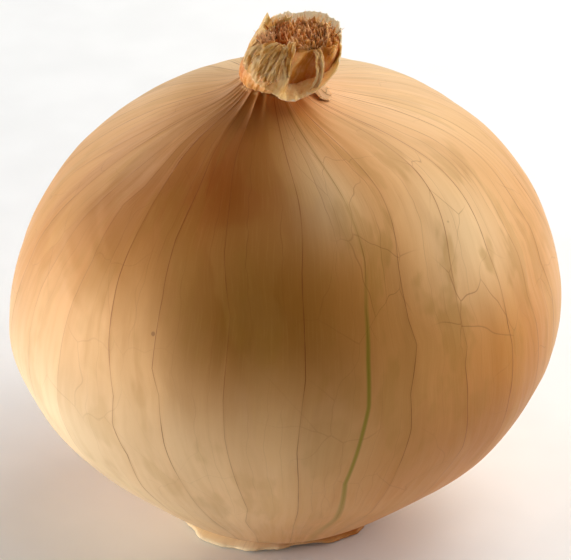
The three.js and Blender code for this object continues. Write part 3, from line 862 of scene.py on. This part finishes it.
def makeLayers(material):
    # Cut edges of the imported leaf bases: wavy ribbons one inside the other, (ring + waves) about the cut's
    # middle, torn along the top, with painted shade at the foot between the rings
    random = np.random.default_rng(7)
    centre = aboutAxis(0.0, 0.0, neck["cutHeight"]) + [*neck["cutShift"], 0]
    grids = []
    for k, ring in enumerate(np.linspace(layers["innermost"], layers["outermost"], layers["count"])):
        columns = 50 + int(44 * ring)
        turn, v = np.meshgrid(np.linspace(-pi, pi, columns, endpoint=False), np.linspace(0, 1, 9))
        share = turn / (2 * pi)
        waves = int(6 + 5 * ring)
        wavy = 0.4 * noise(share * waves, v * 1.5 + k, 70 + k, waves)
        torn = 0.85 * rough(share * waves * 2, 0.5, 80 + k, waves * 2, 4) + random.uniform(-0.2, 0.3)
        gone = ease(noise(share * waves, 9.5, 95 + k, waves), 0.1, 0.6) * 0.9
        opened = inPocket(turn) * ease(ring, 2, 4)
        top = neck["cutHeight"] + 0.75 + torn - gone - 0.5 * opened
        radius = (ring + wavy) * (1 - 0.1 * opened)
        height = mix(neck["cutHeight"] - 1.6, top, v)
        points = np.stack([centre[0] + radius * np.sin(turn), centre[1] - radius * np.cos(turn), height], -1)
        left = ease(-points[..., 0], -1.8, 1.0)
        pale = ease(v, 0.72, 1) * (0.5 + 0.5 * noise(share * waves * 3, 0.5, 120 + k, waves * 3))
        # Painted shade at the foot of each ribbon, between the rings
        dark = (0.6 - 0.5 * left) * (1 - ease(v, 0.4, 0.85))
        tones = tinted(points, 0.8 - 0.75 * pale, 0.05 + 0.6 * left, dark)
        grids.append({"points": points, "closedRound": True, "values": tones})
    return makePiece("neckLayers", grids, material, "neck", layers["thickness"])


def tubes(paths, thick, sides):
    # Circles of radius thick across each path: centre + thick * (cos a * side + sin a * other)
    along = np.gradient(paths, axis=1)
    along /= np.linalg.norm(along, axis=-1, keepdims=True)
    side = np.cross(along, [0.3, 1.0, 0.1])
    side /= np.linalg.norm(side, axis=-1, keepdims=True)
    other = np.cross(along, side)
    a = np.linspace(0, 2 * pi, sides, endpoint=False)
    ring = np.cos(a)[:, None] * side[:, :, None] + np.sin(a)[:, None] * other[:, :, None]
    return paths[:, :, None] + thick[..., None, None] * ring


fibres = {
    # middle (sideways, back, height), reach, how many, lengths, half thicknesses, and shares of brown, red
    # and dark
    "tufts": [
        ((3.1, 0.7, 81.2), 4.2, 400, (0.5, 1.7), (0.05, 0.14), (0.75, 0.15, 0.15)),
        ((-2.9, -1.6, 81.9), 1.3, 120, (0.5, 1.1), (0.06, 0.16), (0.15, 0.05, 0.0)),
        ((-1.2, 1.4, 81.3), 1.6, 110, (0.6, 1.6), (0.05, 0.14), (0.6, 0.8, 0.0)),
        ((-1.9, -4.6, 80.6), 1.2, 60, (0.4, 0.9), (0.05, 0.12), (0.2, 0.05, 0.0)),
    ],
    "steps": 6,
    "sides": 5,
}


def makeFibres(material):
    # Tapered strands on a golden-angle spread: p(s) = root + s * length * direction + curl * s^2
    s = np.linspace(0, 1, fibres["steps"])
    grids = []
    for k, (middle, reach, count, lengths, widths, (brown, red, dark)) in enumerate(fibres["tufts"]):
        random = np.random.default_rng(900 + k)
        angle = np.arange(count) * goldenAngle
        away = np.stack([np.sin(angle), -np.cos(angle), 0 * angle], -1)
        distance = reach * np.sqrt((np.arange(count) + 0.5) / count)
        root = middle + distance[:, None] * away
        lean = random.uniform(-0.1, 0.7, count) * distance / reach
        length = random.uniform(*lengths, count)
        curl = np.clip(random.normal(0, 0.38, (count, 3)), -0.6, 0.6) * [1, 1, 0.5]
        straight = (length[:, None] * s)[..., None] * (lean[:, None] * away + [0, 0, 1])[:, None]
        paths = root[:, None] + straight + curl[:, None] * (s**2)[:, None]
        thick = random.uniform(*widths, count)[:, None] * (1 - 0.8 * s**1.5)
        points = tubes(paths, thick, fibres["sides"])
        brown = brown * random.uniform(0.6, 1.6, count)[:, None, None]
        dark = dark + 0.5 * (random.uniform(0, 1, count) > 0.75)[:, None, None]
        pale = random.uniform(0.2, 1, count)[:, None, None] * s[:, None]
        # Painted shade: each strand darker towards its root, deep in the tuft
        dark = (dark + 0.35) * (1 - s[:, None])
        tones = tinted(points, brown * (1 - 0.6 * pale), red * (1 - 0.5 * pale), dark)
        grids.append(closedGrid(points, tones))
    return makePiece("neckFibres", grids, material, "neck")


shreds = {  # loose skin on the right shoulder
    "sheets": [((66, 88), (6.2, 8.5)), ((85, 108), (6.2, 8.0))],  # turns, and radii from root to tip
    "lift": (0.6, 0.08),  # above the skin at the root and at the tip
    "thickness": 0.06,
}


def makeShreds(material):
    # Thin sheets that lie on the skin: height(radius) of the bulb's profile, plus a lift that falls
    # towards the tip
    radii, heights, _ = bulbProfile()
    shoulder = heights > 60
    u, v = np.meshgrid(np.linspace(0, 1, 60), np.linspace(0, 1, 50))
    grids = []
    for k, (span, reach) in enumerate(shreds["sheets"]):
        seed = 210 + 10 * k
        turn = np.radians(mix(*span, u)) + 0.05 * noise(v * 3, 0.5, seed)
        radius = mix(reach[0], reach[1] + 0.45 * rough(u * 3, 0.5, seed + 1, octaves=3), v)
        crease = folds(u * 4 + v, v * 0.7, seed + 2)
        lift = mix(*shreds["lift"], v**0.5) + 0.05 * (crease - 0.5)
        height = np.interp(-radius, -radii[shoulder], heights[shoulder]) + lift
        points = aboutAxis(turn, radius, height)
        lines = ease(crease, 0.92, 1.0)
        grids.append({"points": points, "values": tinted(points, 0.15 + 0.5 * lines, 0.1, 0.55 * lines)})
    return makePiece("neckShreds", grids, material, "neck", shreds["thickness"])


dryLeaf = {
    # bleached: real bleached patches, also painted light on the sheath's back rim and cup
    "bleachedAndLit": rgb(255, 240, 206),
    "pale": rgb(255, 195, 130),
    "brown": rgb(224, 143, 46),
    "red": rgb(200, 104, 32),
    "dark": rgb(92, 50, 10),
}


def dryMaterial(name, roughness=0.6, glow=0.5):
    # Dry leaf: pale, browned, reddened and darkened by the grid's tones, with streaks lengthwise and
    # small stains. glow is how much of the light wanders under its surface.
    material, tree = newMaterial(name)
    uv = add(tree, "UVMap", uv_map="lengthwise").outputs["UV"]
    place = add(tree, "TexCoord").outputs["Object"]
    value = lambda key: add(tree, "Attribute", attribute_name=key).outputs["Fac"]
    streaks = stretched(tree, uv, 70, 2.0, detail=3)
    patches = cloud(tree, place, 700.0, 4.0, 0.65)
    stains = cloud(tree, place, 260.0)
    wander = calc(tree, "MULTIPLY_ADD", patches, 1.7, -0.8)
    brown = calc(tree, "ADD", value("brown"), wander)
    brown = calc(tree, "ADD", brown, ramp(tree, streaks, 0.4, 0.7, -0.15, 0.25))
    red = calc(tree, "ADD", value("red"), wander)
    dark = calc(tree, "MAXIMUM", ramp(tree, stains, 0.6, 0.74, 0, 0.25), ramp(tree, value("dark"), 0.0, 1.0))
    coats = [(ramp(tree, brown, -0.9, -0.2, 1, 0), "bleachedAndLit"), (ramp(tree, brown, 0.0, 1.0), "brown")]
    coats += [(ramp(tree, red, 0.1, 1.0), "red"), (dark, "dark")]
    colour = painted(tree, dryLeaf["pale"], coats, dryLeaf)
    grain = calc(tree, "ADD", times(tree, streaks, 0.6), times(tree, patches, 0.6))
    bump = add(tree, "Bump", {"Strength": 0.6, "Distance": 0.2 * mm, "Height": grain}).outputs["Normal"]
    return finished(material, tree, {
        "Base Color": colour, "Roughness": roughness, "Normal": bump, "Specular IOR Level": 0.2,
        "Subsurface Weight": glow, "Subsurface Scale": 1.5 * mm, "Subsurface Radius": (1.0, 0.85, 0.65),
    })


dryFinish = dryMaterial("dryLeaf")
fibreFinish = dryMaterial("dryFibre", 0.75, 0.1)

makeStub(dryFinish)
makeSheath(dryFinish)
makeStrips(dryFinish)
makeLayers(fibreFinish)
makeFibres(fibreFinish)
makeShreds(dryFinish)
print("neck made")


# Root plate

roots = {
    "plate": [  # radius and height, from the flat that the onion rests on round to the top
        (0.3, 0.0), (2, 0.0), (4, 0.0), (5.4, 0.0), (6.0, 0.02), (6.6, 0.4), (7.8, 0.85),
        (9.0, 1.0), (10.0, 1.1), (10.1, 1.3), (10.1, 1.6), (9.9, 1.7), (6, 1.7), (0.5, 1.7),
    ],
    "count": 110,
    "ring": (6.7, 9.7),  # radii between which the roots stand
    "start": 1.25,  # height where they leave the plate
    "end": (0.16, 0.5),  # height where they are trimmed
    "thick": (0.16, 0.34),
}


def makeRootPlate(material):
    # A corky disc, flat where it rests, whose underside rises towards its edge: axis + radius, with the
    # height raised by noise outside the flat
    radius, height = np.array(roots["plate"]).T[:, :, None]
    turn = np.linspace(-pi, pi, 180, endpoint=False)[None]
    cork = 0.1 * np.abs(noise(turn / (2 * pi) * 60, radius * 1.4, 91, 60))
    cork = cork * ease(radius, 5.5, 7) * (height < 1.2)
    points = aboutAxis(turn, radius + 0 * turn, height + cork)
    grid = closedGrid(points, tinted(points, 0.75, 0.1, 0.15))
    return makePiece("rootPlate", [grid], material, "root_plate")


def makeRoots(material):
    # Short bent stubs from the raised ring of the underside, trimmed just clear of the ground:
    # p(s) = start + s * lean + bend * s^2, with the height going evenly from start to end
    random = np.random.default_rng(13)
    count, steps, sides = roots["count"], 6, 6
    angle = np.arange(count) * goldenAngle
    distance = mix(*roots["ring"], random.uniform(0, 1, count))
    start = aboutAxis(angle, distance, np.full(count, roots["start"]))
    s = np.linspace(0, 1, steps)
    end = random.uniform(*roots["end"], count)
    lean = random.uniform(-0.1, 0.5, count) * np.where(distance > 9.2, 0.4, 1)
    paths = np.repeat(start[:, None], steps, 1)
    for axis, away in enumerate((np.sin(angle), -np.cos(angle))):
        paths[..., axis] += (away * lean)[:, None] * s + random.normal(0, 0.12, count)[:, None] * s**2
    paths[..., 2] = mix(roots["start"], end[:, None], s)
    thick = random.uniform(*roots["thick"], count)[:, None] * (1 - 0.35 * s)
    points = tubes(paths, thick, sides)
    grid = closedGrid(points, tinted(points, 0.4, 0.05, 0.05))
    return makePiece("rootStubs", [grid], material, "root_plate")


makeRootPlate(dryMaterial("cork", 0.9))
makeRoots(dryMaterial("rootFibre", 0.85))
print("root plate made")


# Floor and light

studio = {
    "floor": rgb(250, 249, 246),
    "floorSpeckle": rgb(236, 235, 232),
    # azimuth from the front to the right and elevation in degrees, distance, width, height, watts, and
    # coolness from 0 to 1
    "cards": [
        (-110, 0, 360, 140, 70, 0.15, 0),
        (-85, 0, 360, 150, 70, 0.44, 1),
        (-85, 11, 360, 150, 90, 0.16, 1),
        (-58, 0, 360, 190, 70, 0.34, 1),
        (-58, 11, 360, 190, 90, 0.1, 1),
        (60, 0, 360, 140, 70, 0.06, 0),
        (-140, 20, 420, 280, 200, 0.4, 0),
        (165, 20, 420, 280, 200, 0.27, 0),
        (102, 20, 420, 300, 200, 0.72, 0),
        (137, 50, 420, 380, 200, 1.02, 0),
        (90, 50, 420, 240, 200, 0.2, 0),
        (50, 72, 420, 240, 240, 0.2, 0),
    ],
    "aimHeight": 38.0,
}


def makeFloor():
    # A wide square just under the ground, with a faint speckle
    material, tree = newMaterial("paleFloor")
    speckle = cloud(tree, add(tree, "TexCoord").outputs["Object"], 60.0)
    tone = blend(tree, ramp(tree, speckle, 0.3, 0.7, 0, 0.3), studio["floor"], studio["floorSpeckle"])
    finished(material, tree, {"Base Color": tone, "Roughness": 0.7, "Specular IOR Level": 0.2})
    reach, level = 3000 * mm, -0.02 * mm
    square = [(-reach, -reach, level), (reach, -reach, level), (reach, reach, level), (-reach, reach, level)]
    mesh = bpy.data.meshes.new("floor")
    mesh.from_pydata(square, [], [(0, 1, 2, 3)])
    mesh.materials.append(material)
    floor = bpy.data.objects.new("floor", mesh)
    bpy.context.scene.collection.objects.link(floor)


def makeLights():
    # Soft cards round the onion: low cool ones at the left, high ones behind and at the right, a weak one
    # overhead, and none straight in front. Each stands at aim height + distance * (sin a cos e,
    # -cos a cos e, sin e) and faces the aim.
    for azimuth, elevation, distance, width, height, watts, coolness in studio["cards"]:
        a, e = math.radians(azimuth), math.radians(elevation)
        away = np.array([math.sin(a) * math.cos(e), -math.cos(a) * math.cos(e), math.sin(e)])
        light = bpy.data.lights.new("card", "AREA")
        light.shape = "RECTANGLE"
        light.size, light.size_y = width * mm, height * mm
        light.energy = watts
        light.color = (1 - 0.07 * coolness, 1, 1 + 0.14 * coolness)
        lamp = bpy.data.objects.new("card", light)
        lamp.location = (away * distance + [0, 0, studio["aimHeight"]]) * mm
        lamp.rotation_euler = (pi / 2 - e, 0, a)
        lamp.visible_camera = False
        bpy.context.scene.collection.objects.link(lamp)
    world = bpy.data.worlds.new("studio")
    world.use_nodes = True
    world.node_tree.nodes["Background"].inputs[0].default_value = (0, 0, 0, 1)
    bpy.context.scene.world = world
    bpy.context.scene.view_settings.view_transform = "Standard"


makeFloor()
makeLights()
print("studio made")
